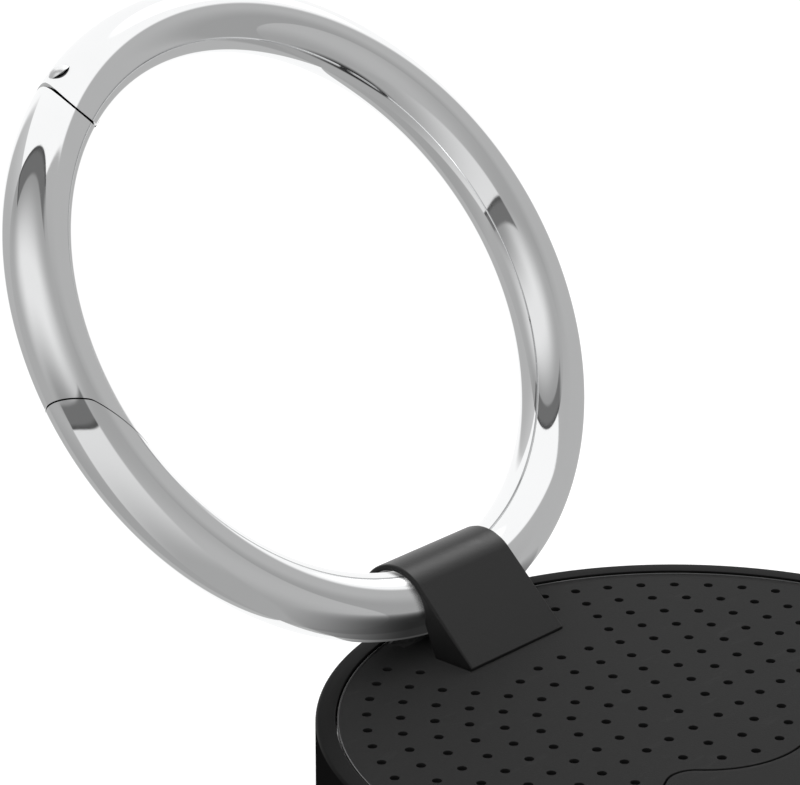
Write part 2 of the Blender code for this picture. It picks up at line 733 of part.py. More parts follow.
def make_board_parts():
    low = BOARD_TOP + REST_GAP
    box("bluetooth_chip", (-7.5 * MM, 4 * MM), (5 * MM, 5 * MM), low, low + 0.6 * MM, chip_black())
    box("crystal", (-4.2 * MM, 9.2 * MM), (2 * MM, 1.6 * MM), low, low + 0.45 * MM, steel())
    box("chip_antenna", (7.2 * MM, 11 * MM), (3.2 * MM, 1.6 * MM), low, low + 0.5 * MM, ceramic())
    box("capacitor", (8.2 * MM, 5 * MM), (3.2 * MM, 2.5 * MM), low, low + 0.6 * MM, ceramic())


def make_switch():
    low = BOARD_TOP + REST_GAP
    body = box("switch_body", (0, SWITCH_Y), (3.6 * MM, 3.0 * MM), low, low + 0.42 * MM, chip_black())
    well = rod("switch_well", (0, SWITCH_Y, low + 0.08 * MM), (0, SWITCH_Y, low + MM), 0.85 * MM, None)
    cut(body, well)
    top = BUTTON_BOTTOM - REST_GAP
    rod("switch_plunger", (0, SWITCH_Y, top - 0.33 * MM), (0, SWITCH_Y, top), 0.75 * MM, ceramic())
    profile = [(2.5 * MM, low), (3.1 * MM, low), (3.1 * MM, top), (2.5 * MM, top)]
    pad = turned("button_pad", profile, seal_rubber(), 36)
    pad.data.transform(Matrix.Translation((0, SWITCH_Y, 0)))


def make_sounder():
    """A piezo disc bonded under the front cover, and the two sprung pins that feed it."""
    y = PIEZO_Y
    high = COVER_BOTTOM - REST_GAP
    brass_low = high - 0.2 * MM
    ceramic_high = brass_low - REST_GAP
    ceramic_low = ceramic_high - 0.17 * MM
    rod("sounder_disc", (0, y, brass_low), (0, y, high), 6 * MM, brass(), 48)
    rod("sounder_ceramic", (0, y, ceramic_low), (0, y, ceramic_high), 4.4 * MM, ceramic(), 48)
    low = BOARD_TOP + REST_GAP
    rod("sounder_pin_inner", (0, y, low), (0, y, ceramic_low - REST_GAP), 0.4 * MM, brass(), 12)
    y = 8.2 * MM
    rod("sounder_pin_outer", (0, y, low), (0, y, brass_low - REST_GAP), 0.4 * MM, brass(), 12)


def make_battery():
    bevel = 0.15 * MM
    profile = [
        (0, CELL_BOTTOM), (CELL_RADIUS - bevel, CELL_BOTTOM), (CELL_RADIUS, CELL_BOTTOM + bevel),
        (CELL_RADIUS, CELL_TOP - 0.5 * MM), (CELL_RADIUS - 0.9 * MM, CELL_TOP - 0.35 * MM),
        (CELL_RADIUS - 1.1 * MM, CELL_TOP), (0, CELL_TOP),
    ]
    turned("coin_cell", profile, steel(), 48)
    low, high = DOOR_RIM_TOP + 0.1 * MM, BOARD_BOTTOM - REST_GAP
    inner, outer = CELL_RADIUS + 0.25 * MM, CELL_RADIUS + 1.3 * MM
    profile = [(inner, low), (outer, low), (outer, high), (inner, high)]
    holder = turned("cell_holder", profile, chip_black(), 48)
    cut(holder, box("contact_gap", (11 * MM, 0), (3 * MM, 3.2 * MM), low - MM, high + MM, None))
    x = CELL_RADIUS + 0.12 * MM
    strip = box("positive_contact", (x, 0), (0.15 * MM, 2.4 * MM), 2.4 * MM, high, brass())
    add(strip, box("contact_foot", (11.2 * MM, 0), (2.2 * MM, 2.4 * MM), high - 0.15 * MM, high, None))
    thick = 0.15 * MM
    rest = CELL_TOP + REST_GAP
    leaf = [
        (1.0 * MM, rest), (2.0 * MM, rest), (5.0 * MM, high - thick), (8.0 * MM, high - thick),
        (8.0 * MM, high), (4.9 * MM, high), (1.9 * MM, rest + thick), (1.0 * MM, rest + thick),
    ]
    along_x("negative_contact", leaf, 1.5 * MM, brass())


def main():
    clear_scene()
    make_case_frame()
    make_front_cover()
    make_front_gasket()
    make_thumb_button()
    make_battery_door()
    make_door_seal()
    make_strap_loop()
    make_foot_screws()
    ring = empty("ring_axes", matrix=ring_matrix())
    make_ring_body(ring)
    make_ring_gate(ring)
    make_gate_fittings(ring)
    make_board()
    make_board_parts()
    make_switch()
    make_sounder()
    make_battery()


main()
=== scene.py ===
import json
import math

import bmesh
import bpy
from mathutils import Matrix, Vector


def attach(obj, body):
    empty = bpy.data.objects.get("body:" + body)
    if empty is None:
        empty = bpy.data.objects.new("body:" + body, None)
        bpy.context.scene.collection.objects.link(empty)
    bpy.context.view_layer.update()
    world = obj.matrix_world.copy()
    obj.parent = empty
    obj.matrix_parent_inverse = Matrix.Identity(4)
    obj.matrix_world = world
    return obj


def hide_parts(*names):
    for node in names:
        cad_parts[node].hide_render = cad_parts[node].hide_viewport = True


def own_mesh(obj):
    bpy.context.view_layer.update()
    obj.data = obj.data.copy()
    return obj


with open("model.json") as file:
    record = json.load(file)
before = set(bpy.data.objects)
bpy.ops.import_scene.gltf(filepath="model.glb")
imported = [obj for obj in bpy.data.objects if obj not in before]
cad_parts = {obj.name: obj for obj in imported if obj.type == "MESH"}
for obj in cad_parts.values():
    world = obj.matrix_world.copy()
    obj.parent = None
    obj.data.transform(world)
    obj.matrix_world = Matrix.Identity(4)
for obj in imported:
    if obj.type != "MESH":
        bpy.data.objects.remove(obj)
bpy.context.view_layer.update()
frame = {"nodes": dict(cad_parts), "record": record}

# Shapes are drawn in millimetres, in the model's own frame: the origin is the centre of the puck's back
# face, +Z comes out of its dimpled front and +Y runs to the loop and the key ring.
MM = 0.001
TAU = 2 * math.pi

# The puck.
PUCK_RADIUS = 18.0
RIM_TOP = 8.0
RIM_WIDTH = 0.95
FACE_TOP = 7.88
COVER_BOTTOM = 6.9
COVER_RADIUS = 16.98
BEAD_RADIUS = 0.045
LEDGE_TOP = 6.7
BORE_INNER = 15.9
FLOOR_TOP = 1.2
SEAM = 0.1
POST_CIRCLE = 14.0
POST_RADIUS = 1.3
POST_TOP = 4.92
POST_ANGLES = [math.radians(a) for a in (30, 150, 270)]
POST_HOLE_RADIUS = 0.44
POST_HOLE_BOTTOM = 2.2

# The dimples.
DIMPLE_CIRCLES = 10
DIMPLE_FIRST_RADIUS = 1.09
DIMPLE_PITCH = 1.611
DIMPLE_RADIUS = 0.225
DIMPLE_LIP = 0.035
DIMPLE_DEPTH = 0.26
DIMPLE_SIDES = 18
DIMPLES_CLEAR_LOOP_X = 4.76
DIMPLES_CLEAR_LOOP_Y = 10.0
DIMPLES_CLEAR_BUTTON = 0.6

# The thumb button.
BUTTON_INNER = 5.4
BUTTON_OUTER = 13.1
BUTTON_HALF_ANGLE = math.radians(64)
BUTTON_CORNER = 1.6
BUTTON_FLANGE = 0.45
BUTTON_BOTTOM = 6.45
BUTTON_FLANGE_TOP = 6.8
BUTTON_TOP = FACE_TOP - 0.004
OPENING_LIP = 0.4
SWITCH_Y = -9.3
PAD_INNER = 2.5
PAD_OUTER = 3.1
PAD_BOTTOM = 5.78
PAD_TOP = 6.42

# The battery door.
DOOR_RADIUS = 11.45
DOOR_OPENING = 11.6
LUG_REACH = 12.55
LUG_HALF_ANGLE = math.radians(7)
DOOR_TURNS = math.radians(25)
LUG_ANGLES = [math.radians(a) for a in (90, 210, 330)]
LUG_BOTTOM = 1.27
LUG_TOP = 1.89
STOP_BOTTOM = 0.8
DOOR_TOP = 1.95
DOOR_PLATE = 1.0
DOOR_WALL_INNER = 10.3
DOOR_SKIRT = 0.27
SEAL_GROOVE_RADIUS = 10.93
SEAL_GROOVE_TOP = 0.83
COIN_SLOT_ENDS = (2.5, 7.5)
COIN_SLOT_HALF_WIDTH = 0.8
COIN_SLOT_DEPTH = 0.5

# The loop, and the key ring with its gate.
RING_RADIUS = 15.75
WIRE_RADIUS = 1.69
RING_TILT = math.radians(54)
HINGE_OFFSET = 0.21
LOOP_HALF_WIDTH = 3.4
LOOP_BORE = 1.94
LOOP_THICKNESS = 0.32
LOOP_Y = 16.22
LOOP_Z = 9.72
LOOP_SLOPE = math.radians(43.3)
LOOP_FOOT_BACK = 13.5
LOOP_LEG_END = 2.2
HOOK_DEPTH = 1.2
HOOK_TOP = 3.4
FOOT_GAP = 0.03
TOE_HEIGHT = 0.16
FOOT_SCREW_X = 2.0
FOOT_SCREW_Y = 12.4
FOOT_HOLE_IN_LOOP = 0.5
FOOT_HOLE_IN_COVER = 0.55
PIVOT_ANGLE = math.radians(120)
NOSE_ANGLE = math.radians(181)
GATE_OPENS = math.radians(30)
GATE_GAP = 0.08
CHEEK_RADIUS = 1.82
CHEEK_GAP = 0.13
TONGUE_HALF_THICKNESS = 0.55
TONGUE_SLOT_HALF_WIDTH = 0.65
PIN_HOLE_RADIUS = 0.5
PLUNGER_BORE_START = (-0.9, 0.35, 0)
PLUNGER_BORE_END = (-5.3, 0.88, 0)
PLUNGER_BORE_RADIUS = 0.72
RIVET_RADIUS = 0.62
RIVET_HEIGHT = 0.38
RIVET_SHANK_RADIUS = 0.45
RIVET_SHANK_DEPTH = 0.2
RIVET_ROUND_WIRE = math.radians(24)
RIVET_SINK = 0.17
RIVET_TURN = math.radians(-15)
RIVET_LEAN = math.radians(20)
RING_CENTRE = RING_RADIUS - HINGE_OFFSET
BEYOND_WIRE = 3  # how far a cutter reaches from the wire's centre line


# ---------------------------------------------------------------- shader nodes

class Graph:
    """Adds nodes to a shader tree. An input is a number, a colour, a vector or another node's output."""

    def __init__(self, tree):
        self.tree = tree
        tree.nodes.clear()

    def add(self, kind, inputs=(), **settings):
        made = self.tree.nodes.new("ShaderNode" + kind)
        for name, value in settings.items():
            setattr(made, name, value)
        for key, value in dict(inputs).items():
            socket = made.inputs[key]
            if isinstance(value, bpy.types.NodeSocket):
                self.tree.links.new(value, socket)
            else:
                socket.default_value = value
        return made

    def math(self, operation, first, second=0.0):
        return self.add("Math", {0: first, 1: second}, operation=operation).outputs[0]

    def vector(self, operation, first, second):
        made = self.add("VectorMath", {0: first, 1: second}, operation=operation)
        return made.outputs["Value" if operation in ("DOT_PRODUCT", "DISTANCE") else "Vector"]

    def ramp(self, value, low, high, start=0.0, end=1.0):
        """Runs smoothly from start to end as the value goes from low to high."""
        made = self.add(
            "MapRange", {"Value": value, 1: low, 2: high, 3: start, 4: end},
            interpolation_type="SMOOTHSTEP",
        )
        return made.outputs["Result"]

    def mix(self, factor, first, second):
        return self.add("Mix", {0: factor, 6: first, 7: second}, data_type="RGBA").outputs[2]

    def blend(self, factor, first, second):
        """A plain number between two others."""
        return self.add("Mix", {0: factor, 2: first, 3: second}, data_type="FLOAT").outputs[0]

    def product(self, first, *others):
        for other in others:
            first = self.math("MULTIPLY", first, other)
        return first

    def off(self, value, middle):
        """How far a value is from the middle, either way."""
        return self.math("ABSOLUTE", self.math("SUBTRACT", value, middle))

    def noise(self, scale, detail=2.0, roughness=0.5, stretch=(1, 1, 1)):
        place = self.add("TexCoord").outputs["Object"]
        place = self.vector("MULTIPLY", place, stretch)
        inputs = {"Vector": place, "Scale": scale, "Detail": detail, "Roughness": roughness}
        return self.add("TexNoise", inputs).outputs["Fac"]


def grey(value):
    return (value, value, value, 1.0)


def new_material(name):
    made = bpy.data.materials.new(name)
    made.use_nodes = True
    return made, Graph(made.node_tree)


def finish_material(graph, shader):
    graph.add("OutputMaterial", {"Surface": shader.outputs[0]})


def moulded_plastic(name, shade, roughness, specular=0.5, grain=0.02, edge=0.0, painted_mirror=False, flank=0.0):
    """Black plastic from a spark-eroded mould: fine grain and faint handling marks. Specular is the level on
    faces that look up or down, and flank the level on upright ones. An edge radius gives a polished lip
    outside it. A plastic with a painted mirror shows the ring a painted reflection in its own place."""
    made, graph = new_material(name)
    broad = graph.noise(90, 3)
    fine = graph.noise(9000, 3, 0.6)
    marks = graph.ramp(graph.noise(420, 4, 0.65, (1, 3, 1)), 0.58, 0.72)
    tone = graph.math("ADD", graph.math("MULTIPLY", broad, 0.25), graph.math("MULTIPLY", fine, 0.35))
    colour = graph.mix(tone, grey(0.72 * shade), grey(1.5 * shade))
    sheen = graph.math("ADD", graph.math("MULTIPLY", fine, 0.12), roughness - 0.06)
    sheen = graph.math("SUBTRACT", sheen, graph.math("MULTIPLY", marks, 0.05))
    bump = graph.add("Bump", {"Strength": 0.35, "Distance": grain * MM, "Height": fine})
    upward = graph.add("SeparateXYZ", {0: graph.add("NewGeometry").outputs["Normal"]}).outputs["Z"]
    lip = 0.0
    if edge:
        place = graph.vector("MULTIPLY", graph.add("TexCoord").outputs["Object"], (1, 1, 0))
        lip = graph.ramp(graph.vector("DISTANCE", place, (0, 0, 0)), (edge - 0.03) * MM, edge * MM)
    dulled = graph.ramp(graph.math("ABSOLUTE", upward), 0.1, 0.7, flank, specular)
    shader = graph.add("BsdfPrincipled", {
        "Base Color": colour, "Roughness": graph.blend(lip, sheen, 0.22),
        "Specular IOR Level": graph.blend(lip, dulled, 1.0), "Normal": bump.outputs[0],
    })
    # painted reflection: glossy rays see a glowing patch in place of this plastic
    if painted_mirror:
        shader = painted_reflection(graph, shader)
    finish_material(graph, shader)
    return made


def painted_reflection(graph, shader):
    """A painted reflection of the puck for the ring's mirror finish: glossy rays from farther than half a
    millimetre see it glow as a soft dark patch round the loop that fades into the grey of the studio, with
    none of the face's detail."""
    rays = graph.add("LightPath").outputs
    place = graph.add("NewGeometry").outputs["Position"]
    reach = graph.vector("DISTANCE", place, (0.0, 15 * MM, FACE_TOP * MM))
    way = graph.vector("MULTIPLY", graph.add("NewGeometry").outputs["Incoming"], (-1, -1, -1))
    # painted reflection: the studio's light, dimmed to a dark patch near the loop, glows in place of the puck
    light = graph.math("MULTIPLY", studio_light(graph, way), graph.ramp(reach, 3 * MM, 12.5 * MM, 0.06, 1))
    painted_patch = graph.add("Emission", {"Color": grey(1), "Strength": light})
    far = graph.math("GREATER_THAN", rays["Ray Length"], 0.5 * MM)
    painted_mirror = graph.math("MULTIPLY", rays["Is Glossy Ray"], far)
    return graph.add("MixShader", {0: painted_mirror, 1: shader.outputs[0], 2: painted_patch.outputs[0]})


def polished_metal(name, colour, roughness, brush=0.0):
    """Bare or plated metal with hairline scratches, fingermarks and a trace of polishing ripple. Painted
    shade darkens its colour in tight places, where a mirror would see only its neighbours."""
    made, graph = new_material(name)
    smears = graph.noise(260, 4, 0.6)
    hairs = graph.ramp(graph.noise(2600, 2, 0.7, (1, 14, 1)), 0.62, 0.7)
    sheen = graph.math("MULTIPLY", smears, 0.05)
    sheen = graph.math("ADD", sheen, graph.math("MULTIPLY", hairs, 0.05 + brush))
    sheen = graph.math("ADD", sheen, roughness)
    tone = graph.mix(smears, [0.96 * c for c in colour] + [1], list(colour) + [1])
    # painted shade: the colour goes nearly black where ambient occlusion finds close neighbours
    openness_for_painted_shade = graph.add("AmbientOcclusion", {"Distance": 0.4 * MM}, samples=6).outputs["AO"]
    tone = graph.mix(graph.ramp(openness_for_painted_shade, 0.3, 0.9), grey(0.03), tone)
    height = graph.math("ADD", graph.noise(150, 2), graph.math("MULTIPLY", hairs, 0.02 + brush))
    bump = graph.add("Bump", {"Strength": 0.12, "Distance": 0.01 * MM, "Height": height})
    shader = graph.add("BsdfPrincipled", {
        "Base Color": tone, "Metallic": 1.0, "Roughness": sheen, "Normal": bump.outputs[0],
    })
    finish_material(graph, shader)
    return made


def soft_rubber(name, shade):
    """Matt black rubber with a patchy bloom."""
    made, graph = new_material(name)
    bloom = graph.noise(700, 4, 0.7)
    colour = graph.mix(bloom, grey(0.8 * shade), grey(2.2 * shade))
    bump = graph.add("Bump", {"Strength": 0.3, "Distance": 0.02 * MM, "Height": graph.noise(5200, 3)})
    shader = graph.add("BsdfPrincipled", {
        "Base Color": colour, "Roughness": graph.ramp(bloom, 0.2, 0.8, 0.62, 0.85),
        "Normal": bump.outputs[0],
    })
    finish_material(graph, shader)
    return made


def fired_ceramic(name, colour):
    """Pale ceramic with darker specks."""
    made, graph = new_material(name)
    specks = graph.ramp(graph.noise(3800, 2, 0.6), 0.6, 0.72)
    tone = graph.mix(specks, list(colour) + [1], [0.6 * c for c in colour] + [1])
    shader = graph.add("BsdfPrincipled", {
        "Base Color": tone, "Roughness": graph.ramp(graph.noise(900), 0.3, 0.7, 0.35, 0.5),
    })
    finish_material(graph, shader)
    return made


def solder_mask():
    """Green board: copper tracks show through the mask as lighter, slightly raised lines."""
    made, graph = new_material("board_mask")
    place = graph.add("TexCoord").outputs["Object"]
    cells = graph.add("TexVoronoi", {"Vector": place, "Scale": 420.0}, feature="DISTANCE_TO_EDGE")
    tracks = graph.ramp(cells.outputs["Distance"], 0.03, 0.05, 1, 0)
    weave = graph.noise(6000, 2)
    colour = graph.mix(tracks, (0.012, 0.10, 0.04, 1), (0.03, 0.20, 0.09, 1))
    height = graph.math("ADD", tracks, graph.math("MULTIPLY", weave, 0.15))
    bump = graph.add("Bump", {"Strength": 0.5, "Distance": 0.03 * MM, "Height": height})
    shader = graph.add("BsdfPrincipled", {
        "Base Color": colour, "Roughness": graph.ramp(weave, 0.2, 0.8, 0.25, 0.4),
        "Normal": bump.outputs[0],
    })
    finish_material(graph, shader)
    return made


def make_materials():
    return {
        # the case and the face give the ring's mirror a painted reflection in their place
        "case_plastic": moulded_plastic("case_plastic", 0.010, 0.38, 0.03, 0.008, painted_mirror=True),
        "face_plastic": moulded_plastic("face_plastic", 0.020, 0.62, 0.11, 0.02, 16.9, True),
        "loop_plastic": moulded_plastic("loop_plastic", 0.011, 0.34, 0.34, 0.012, flank=0.34),
        "chip_plastic": moulded_plastic("chip_plastic", 0.018, 0.55, 0.4),
        "chrome": polished_metal("chrome", (0.925, 0.93, 0.935), 0.01),
        "satin_chrome": polished_metal("satin_chrome", (0.925, 0.93, 0.935), 0.28),
        "steel": polished_metal("steel", (0.60, 0.60, 0.61), 0.2, 0.2),
        "brass": polished_metal("brass", (0.76, 0.58, 0.26), 0.2, 0.15),
        "seal_rubber": soft_rubber("seal_rubber", 0.02),
        "ceramic": fired_ceramic("ceramic", (0.82, 0.80, 0.74)),
        "board": solder_mask(),
    }


# ---------------------------------------------------------------- shapes

def polar(radius, angle):
    return (radius * math.cos(angle), radius * math.sin(angle))


def arc(radius, count, centre=(0.0, 0.0), start=0.0, sweep=TAU):
    """Points on an arc. A full circle leaves its last point out; a part of one keeps it."""
    steps = count if sweep >= TAU - 1e-9 else count - 1
    angles = [start + sweep * i / steps for i in range(count)]
    return [(centre[0] + radius * math.cos(a), centre[1] + radius * math.sin(a)) for a in angles]


def rounded(corners, segments=5):
    """A closed outline from (x, y, radius) corners, each turned into an arc of that radius."""
    outline = []
    for i, (x, y, radius) in enumerate(corners):
        here = Vector((x, y))
        back = Vector(corners[i - 1][:2]) - here
        ahead = Vector(corners[(i + 1) % len(corners)][:2]) - here
        if radius <= 0:
            outline.append((x, y))
            continue
        half = back.angle(ahead) / 2
        reach = min(radius / math.tan(half), 0.48 * back.length, 0.48 * ahead.length)
        start, end = here + back.normalized() * reach, here + ahead.normalized() * reach
        hub = here + (back.normalized() + ahead.normalized()).normalized() * reach / math.cos(half)
        for step in range(segments + 1):
            share = step / segments
            spoke = (start - hub).lerp(end - hub, share).normalized() * (start - hub).length
            outline.append(tuple(hub + spoke))
    return outline


def as_object(name, shape):
    """A bmesh drawn in millimetres becomes an object in metres."""
    bmesh.ops.scale(shape, vec=(MM, MM, MM), verts=shape.verts)
    bmesh.ops.remove_doubles(shape, verts=shape.verts, dist=1e-7)
    bmesh.ops.recalc_face_normals(shape, faces=shape.faces)
    mesh = bpy.data.meshes.new(name)
    shape.to_mesh(mesh)
    shape.free()
    obj = bpy.data.objects.new(name, mesh)
    bpy.context.scene.collection.objects.link(obj)
    return obj


def lathe(name, profile, steps=192):
    """Spins a closed profile of (radius, height) points about Z. One that starts on the axis ends on it."""
    shape = bmesh.new()
    points = [shape.verts.new((radius, 0, height)) for radius, height in profile]
    edges = [shape.edges.new(pair) for pair in zip(points, points[1:])]
    if profile[0][0] > 0:
        edges.append(shape.edges.new((points[-1], points[0])))
    bmesh.ops.spin(
        shape, geom=points + edges, cent=(0, 0, 0), axis=(0, 0, 1), angle=TAU, steps=steps,
        use_merge=True,
    )
    return as_object(name, shape)


def prism(name, outline, low, high):
    """Extrudes an outline of (x, y) points along Z."""
    shape = bmesh.new()
    face = shape.faces.new([shape.verts.new((x, y, low)) for x, y in outline])
    grown = bmesh.ops.extrude_face_region(shape, geom=[face])["geom"]
    top = [v for v in grown if isinstance(v, bmesh.types.BMVert)]
    bmesh.ops.translate(shape, verts=top, vec=(0, 0, high - low))
    return as_object(name, shape)


def along_x(name, outline, half_width):
    """Extrudes an outline of (y, z) points along X."""
    made = prism(name, outline, -half_width, half_width)
    made.data.transform(Matrix(((0, 0, 1, 0), (1, 0, 0, 0), (0, 1, 0, 0), (0, 0, 0, 1))))
    return made


def rod(name, start, end, radius, sides=48):
    """A cylinder between two points."""
    start, end = Vector(start), Vector(end)
    shape = bmesh.new()
    turn = (end - start).to_track_quat("Z", "Y").to_matrix().to_4x4()
    bmesh.ops.create_cone(
        shape, cap_ends=True, segments=sides, radius1=radius, radius2=radius,
        depth=(end - start).length, matrix=Matrix.Translation((start + end) / 2) @ turn,
    )
    return as_object(name, shape)


def sector(name, inner, outer, angle, half_angle, low, high):
    """A block between two radii, centred on an angle about Z."""
    front = arc(outer, 8, start=angle - half_angle, sweep=2 * half_angle)
    back = arc(inner, 8, start=angle + half_angle, sweep=-2 * half_angle)
    return prism(name, front + back, low, high)


def skin(shape, rows):
    """Joins rows of points that have equal counts with quads, and returns the rows of vertices."""
    rings = [[shape.verts.new(point) for point in row] for row in rows]
    for first, second in zip(rings, rings[1:]):
        for i in range(len(first)):
            j = (i + 1) % len(first)
            shape.faces.new((first[i], first[j], second[j], second[i]))
    return rings


def placed(obj, matrix):
    """Moves an object's mesh by a matrix whose shift is in millimetres."""
    metric = matrix.copy()
    metric.translation *= MM
    obj.data.transform(metric)
    return obj


def carve(obj, tools, operation="DIFFERENCE"):
    """Cuts or joins the tools into the object's mesh, and removes them."""
    for tool in tools:
        modifier = obj.modifiers.new("carve", "BOOLEAN")
        modifier.operation = operation
        modifier.solver = "EXACT"
        modifier.object = tool
    seen = obj.evaluated_get(bpy.context.evaluated_depsgraph_get())
    baked = bpy.data.meshes.new_from_object(seen)
    obj.modifiers.clear()
    obj.data = baked
    for tool in tools:
        bpy.data.objects.remove(tool, do_unlink=True)
    return obj


def soften(obj, width, segments=3, marked=False):
    """Rounds the edges that turn sharply, or only the marked ones."""
    edge = obj.modifiers.new("edge", "BEVEL")
    edge.width = width * MM
    edge.segments = segments
    edge.limit_method = "WEIGHT" if marked else "ANGLE"
    edge.angle_limit = math.radians(40)
    edge.use_clamp_overlap = not marked


def add_piece(obj, material, body, node, sharp=60):
    """Gives a piece its finish and smooth shading, and puts it in place of its CAD node."""
    obj.data.materials.clear()
    obj.data.materials.append(material)
    obj.data.shade_smooth()
    obj.data.set_sharp_from_angle(angle=math.radians(sharp))
    weight = obj.modifiers.new("shading", "WEIGHTED_NORMAL")
    weight.keep_sharp = True
    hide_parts(node)
    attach(obj, body)


# ---------------------------------------------------------------- the puck

def saddle():
    """The cutter of the trough that the loop and the ring's wire lie in."""
    reach = LOOP_HALF_WIDTH + SEAM
    return rod("saddle", (-reach, LOOP_Y, LOOP_Z), (reach, LOOP_Y, LOOP_Z), LOOP_BORE + 0.05, 96)


def button_outline(grow):
    """The button's outline grown by a margin: two arcs, two straight sides and four round corners."""
    inner, outer = BUTTON_INNER - grow, BUTTON_OUTER + grow
    corner = BUTTON_CORNER + grow
    side = BUTTON_HALF_ANGLE
    outer_angle = side - math.asin(BUTTON_CORNER / (outer - corner))
    inner_angle = side - math.asin(BUTTON_CORNER / (inner + corner))
    half = arc(outer, 40, start=0, sweep=outer_angle)
    hub = polar(outer - corner, outer_angle)
    half += arc(corner, 14, hub, outer_angle, side + math.pi / 2 - outer_angle)[1:]
    hub = polar(inner + corner, inner_angle)
    half += arc(corner, 14, hub, side + math.pi / 2, inner_angle + math.pi / 2 - side)
    half += arc(inner, 24, start=inner_angle, sweep=-inner_angle)[1:]
    whole = half + [(x, -y) for x, y in half[-2:0:-1]]
    return [(y, -x) for x, y in whole]


def in_button(x, y, margin):
    """True if a point is in the button's outline or within the margin of it."""
    radius = math.hypot(x, y)
    beside = radius * math.sin(max(abs(math.atan2(x, -y)) - BUTTON_HALF_ANGLE, 0.0))
    return BUTTON_INNER - margin < radius < BUTTON_OUTER + margin and beside < margin


def dimple_places():
    """Circles of 3, 9, 15 ... dots, less those under the loop's foot or in the button."""
    places = []
    for ring in range(DIMPLE_CIRCLES):
        count = 3 + 6 * ring
        for i in range(count):
            angle = math.pi / 2 + (i + 0.5 * (ring % 2)) * TAU / count
            x, y = polar(DIMPLE_FIRST_RADIUS + DIMPLE_PITCH * ring, angle)
            under_loop = abs(x) < DIMPLES_CLEAR_LOOP_X and y > DIMPLES_CLEAR_LOOP_Y
            if not under_loop and not in_button(x, y, DIMPLES_CLEAR_BUTTON):
                places.append((x, y))
    return places


def filled(shape, loops):
    """Fills the flat region between an outer loop of vertices and the loops inside it."""
    edges = []
    for loop in loops:
        for i, vertex in enumerate(loop):
            ahead = loop[(i + 1) % len(loop)]
            edges.append(shape.edges.get((vertex, ahead)) or shape.edges.new((vertex, ahead)))
    bmesh.ops.triangle_fill(shape, edges=edges, use_beauty=True)


def level(outline, height):
    """A row of points for skin, from an outline laid flat at a height."""
    return [(x, y, height) for x, y in outline]


def dimple_rows(x, y):
    """The rings of a dimple, from its softened lip down to its rounded floor."""
    steps = [
        (DIMPLE_RADIUS + DIMPLE_LIP, 0.0), (DIMPLE_RADIUS + 0.01, -0.012), (DIMPLE_RADIUS, -0.045),
        (DIMPLE_RADIUS, -0.19), (0.8 * DIMPLE_RADIUS, -0.24), (0.4 * DIMPLE_RADIUS, -DIMPLE_DEPTH),
    ]
    return [level(arc(radius, DIMPLE_SIDES, (x, y)), FACE_TOP + depth) for radius, depth in steps]


def make_cover(materials):
    """The front cover: a disc with softened edges, blind dimples and an opening for the button."""
    shape = bmesh.new()
    top, low = FACE_TOP, COVER_BOTTOM
    bead = arc(BEAD_RADIUS, 9, (COVER_RADIUS - BEAD_RADIUS, top), math.pi, -math.pi)
    outer = skin(shape, [
        level(arc(radius, 240), height) for radius, height in bead + [(COVER_RADIUS, low)]
    ])
    lip = [(-0.01, 0), (-0.035, 0.012), (-0.045, 0.05), (-0.045, OPENING_LIP), (0, OPENING_LIP)]
    rows = [level(button_outline(grow), top - drop) for grow, drop in lip]
    opening = skin(shape, rows + [level(button_outline(0), low)])
    front, back = [outer[0], opening[0]], [outer[-1], opening[-1]]
    for side in (-1, 1):
        hole = arc(FOOT_HOLE_IN_COVER, 24, (side * FOOT_SCREW_X, FOOT_SCREW_Y))
        rings = skin(shape, [level(hole, top), level(hole, low)])
        front.append(rings[0])
        back.append(rings[1])
    for x, y in dimple_places():
        rings = skin(shape, dimple_rows(x, y))
        shape.faces.new(rings[-1])
        front.append(rings[0])
    filled(shape, front)
    filled(shape, back)
    cover = carve(as_object("cover_face", shape), [saddle()])
    add_piece(cover, materials["face_plastic"], "puck", "front_cover", sharp=22)


def make_button(materials):
    """The thumb button: a barely crowned cap with a rounded edge, on a flange that traps it."""
    shape = bmesh.new()
    rows = [level(button_outline(BUTTON_FLANGE), BUTTON_BOTTOM)]
    rows += [level(button_outline(BUTTON_FLANGE), BUTTON_FLANGE_TOP)]
    rows += [level(button_outline(-SEAM), BUTTON_FLANGE_TOP)]
    for inset, drop in ((0, 0.12), (0.015, 0.07), (0.05, 0.025), (0.11, 0.004), (0.3, 0.0)):
        rows.append(level(button_outline(-SEAM - inset), BUTTON_TOP - drop))
    rings = skin(shape, rows)
    filled(shape, [rings[0]])
    filled(shape, [rings[-1]])
    button = as_object("button_cap", shape)
    add_piece(button, materials["face_plastic"], "button", "thumb_button", sharp=22)


def make_pad(materials):
    """The rubber ring that holds the button up."""
    profile = rounded([
        (PAD_INNER, PAD_BOTTOM, 0.05), (PAD_OUTER, PAD_BOTTOM, 0.05),
        (PAD_OUTER, PAD_TOP, 0.14), (PAD_INNER, PAD_TOP, 0.14),
    ], 5)
    pad = placed(lathe("pad_ring", profile, 72), Matrix.Translation((0, SWITCH_Y, 0)))
    add_piece(pad, materials["seal_rubber"], "puck", "button_pad")
    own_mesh(pad)


def hook_pocket():
    """The cutter of the pocket in the side wall that the loop's leg hooks into."""
    back = LOOP_Y + LOOP_BORE - HOOK_DEPTH - SEAM
    low, high = LOOP_LEG_END - SEAM, HOOK_TOP + SEAM
    outline = [(back, low), (PUCK_RADIUS + 1, low), (PUCK_RADIUS + 1, high), (back, high)]
    return along_x("pocket", outline, LOOP_HALF_WIDTH + SEAM)


